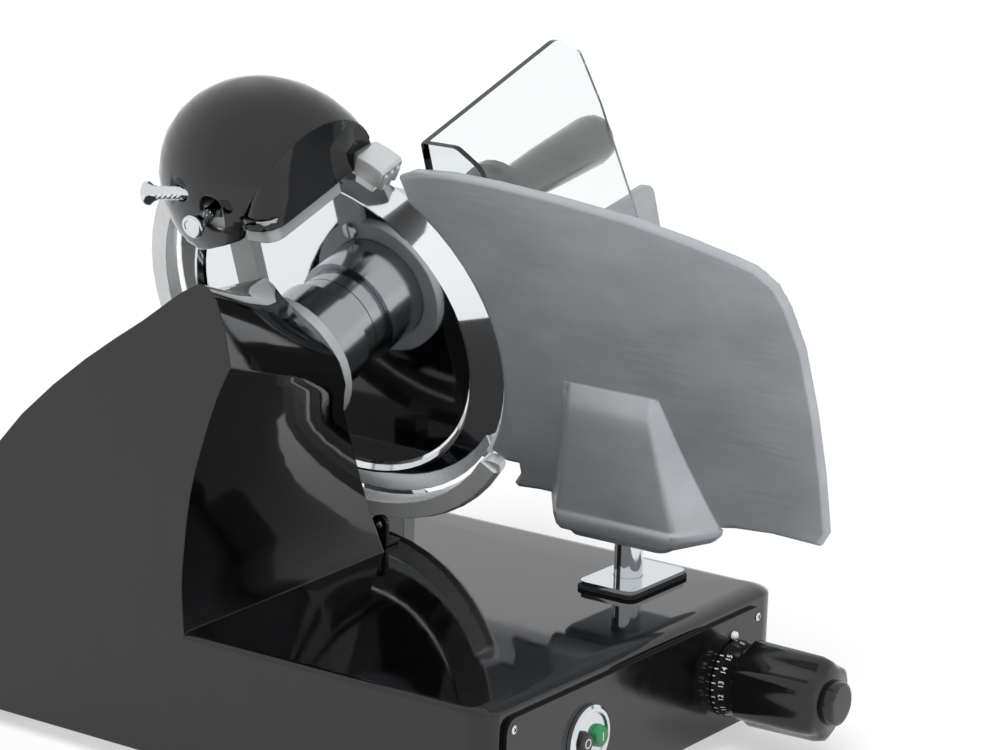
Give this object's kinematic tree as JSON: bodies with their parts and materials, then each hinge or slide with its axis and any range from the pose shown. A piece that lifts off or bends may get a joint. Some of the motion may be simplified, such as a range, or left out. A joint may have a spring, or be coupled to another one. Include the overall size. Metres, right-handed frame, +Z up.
{
  "type": "meat slicer",
  "caption": "Tabletop gravity-feed meat slicer with a leaning round blade, ring guard, ridged gauge plate, sliding food tray with pusher and clear hand guard, and a covered sharpener.",
  "frame": {"origin": "centre of the bounding box in plan, on the surface that the rubber feet stand on", "axes": "+Z up; the operator stands on the -Y side and the food tray travels along Y; +X points from the blade towards the food tray, so slices fall on the -X side"},
  "size_m": [0.4648, 0.517, 0.4094],
  "materials": {
    "black_enamel": "glossy black enamel on die-cast aluminium",
    "black_plastic": "satin black moulded plastic",
    "rubber": "matt black rubber",
    "mirror_steel": "mirror-polished stainless blade steel",
    "turned_steel": "turned steel",
    "chrome": "bright chrome plate",
    "brushed_aluminium": "satin brushed and anodised aluminium",
    "cast_aluminium": "fine light grey cast aluminium",
    "clear_acrylic": "clear acrylic sheet with polished edges",
    "white_plastic": "white plastic",
    "green_plastic": "green plastic push button",
    "black_button": "black plastic push button",
    "abrasive_stone": "fine abrasive stone",
    "motor_paint": "dark grey motor paint"
  },
  "bodies": {
    "frame_body": {"base_housing": "black_enamel", "base_plate": "cast_aluminium", "foot_front_left": "rubber", "foot_front_right": "rubber", "foot_rear_left": "rubber", "foot_rear_right": "rubber", "control_panel": "black_plastic", "switch_bezel": "chrome", "index_pin": "white_plastic", "motor": "motor_paint", "bearing_hub": "turned_steel", "bearing_front": "turned_steel", "bearing_rear": "turned_steel", "sharpener_bracket": "cast_aluminium", "bracket_screw": "turned_steel", "blade_guard_ring": "cast_aluminium", "gauge_guide_rod": "turned_steel", "carriage_rail": "chrome", "rail_bracket_front": "cast_aluminium", "rail_bracket_rear": "cast_aluminium", "cord_gland": "rubber", "deflector_bracket": "black_enamel", "drive_belt": "rubber", "sharpener_base": "cast_aluminium", "sharpener_cover": "black_enamel"},
    "blade_rotor": {"blade": "mirror_steel", "blade_spindle": "turned_steel", "blade_pulley": "cast_aluminium", "blade_screw_1": "turned_steel", "blade_screw_2": "turned_steel", "blade_screw_3": "turned_steel"},
    "motor_rotor": {"motor_pulley": "turned_steel"},
    "gauge": {"gauge_plate": "brushed_aluminium", "gauge_post": "chrome", "post_cover_plate": "chrome", "post_gasket": "rubber", "gauge_slide_block": "turned_steel"},
    "dial": {"dial_knob": "black_plastic", "dial_cap": "black_plastic", "dial_spindle": "turned_steel"},
    "on_switch": {"on_button": "green_plastic"},
    "off_switch": {"off_button": "black_button"},
    "carriage": {"carriage_slide_block": "turned_steel", "carriage_arm": "cast_aluminium", "carriage_tray": "brushed_aluminium", "hand_guard": "clear_acrylic", "guard_screw_1": "chrome", "guard_screw_2": "chrome", "pusher_rod": "chrome"},
    "tray_knob": {"tray_lock_knob": "black_plastic"},
    "pusher_carrier": {"pusher_slider": "turned_steel"},
    "pusher": {"pusher_arm": "cast_aluminium", "pusher_plate": "cast_aluminium", "handle_collar": "black_plastic", "pusher_handle": "black_plastic"},
    "grind_press": {"grind_button": "chrome"},
    "deburr_press": {"deburr_button": "chrome"},
    "grind_wheel": {"grinding_stone": "abrasive_stone"},
    "deburr_wheel": {"deburring_stone": "abrasive_stone"}
  },
  "joints": [
    {"name": "blade_spin", "type": "hinge", "parent": "frame_body", "child": "blade_rotor", "pos_m": [-0.01635, 0.09415, 0.232], "axis": [0.9435, 0, 0.3313], "continuous": true},
    {"name": "motor_spin", "type": "hinge", "parent": "frame_body", "child": "motor_rotor", "pos_m": [0.01181, 0.11915, 0.1518], "axis": [0.9435, 0, 0.3313], "continuous": true},
    {"name": "gauge_slide", "type": "slide", "parent": "frame_body", "child": "gauge", "axis": [-1, 0, 0], "range_m": [0, 0.0159]},
    {"name": "dial_turn", "type": "hinge", "parent": "frame_body", "child": "dial", "pos_m": [0.02265, 0.09415, 0.046], "axis": [0, -1, 0], "range_deg": [0, 320]},
    {"name": "on_press", "type": "slide", "parent": "frame_body", "child": "on_switch", "axis": [0, 1, 0], "range_m": [0, 0.003], "stiffness_N_per_m": 400},
    {"name": "off_press", "type": "slide", "parent": "frame_body", "child": "off_switch", "axis": [0, 1, 0], "range_m": [0, 0.003], "stiffness_N_per_m": 400},
    {"name": "carriage_slide", "type": "slide", "parent": "frame_body", "child": "carriage", "axis": [0, 1, 0], "range_m": [-0.15, 0.11]},
    {"name": "tray_lock_turn", "type": "hinge", "parent": "carriage", "child": "tray_knob", "pos_m": [0.10565, 0.13615, 0.07], "axis": [1, 0, 0], "range_deg": [0, 270]},
    {"name": "pusher_slide", "type": "slide", "parent": "carriage", "child": "pusher_carrier", "axis": [0.9435, 0, 0.3313], "range_m": [-0.065, 0.078]},
    {"name": "pusher_swing", "type": "hinge", "parent": "pusher_carrier", "child": "pusher", "pos_m": [0.00668, 0.14415, 0.16643], "axis": [-0.9435, 0, -0.3313], "range_deg": [0, 75]},
    {"name": "grind_press_slide", "type": "slide", "parent": "frame_body", "child": "grind_press", "axis": [0.9435, 0, 0.3313], "range_m": [0, 0.008], "stiffness_N_per_m": 400},
    {"name": "deburr_press_slide", "type": "slide", "parent": "frame_body", "child": "deburr_press", "axis": [0.283, -0.9539, 0.0994], "range_m": [0, 0.008], "stiffness_N_per_m": 400},
    {"name": "grind_stone_spin", "type": "hinge", "parent": "grind_press", "child": "grind_wheel", "pos_m": [-0.05876, 0.09015, 0.35277], "axis": [0.9435, 0, 0.3313], "continuous": true},
    {"name": "deburr_stone_spin", "type": "hinge", "parent": "deburr_press", "child": "deburr_wheel", "pos_m": [-0.07107, 0.12115, 0.34103], "axis": [0.9435, 0, 0.3313], "continuous": true}
  ],
  "couplings": [
    {"joint": "motor_spin", "follows": "blade_spin", "ratio": 3.0909},
    {"joint": "dial_turn", "follows": "gauge_slide", "rad_per_m": 351.2}
  ]
}
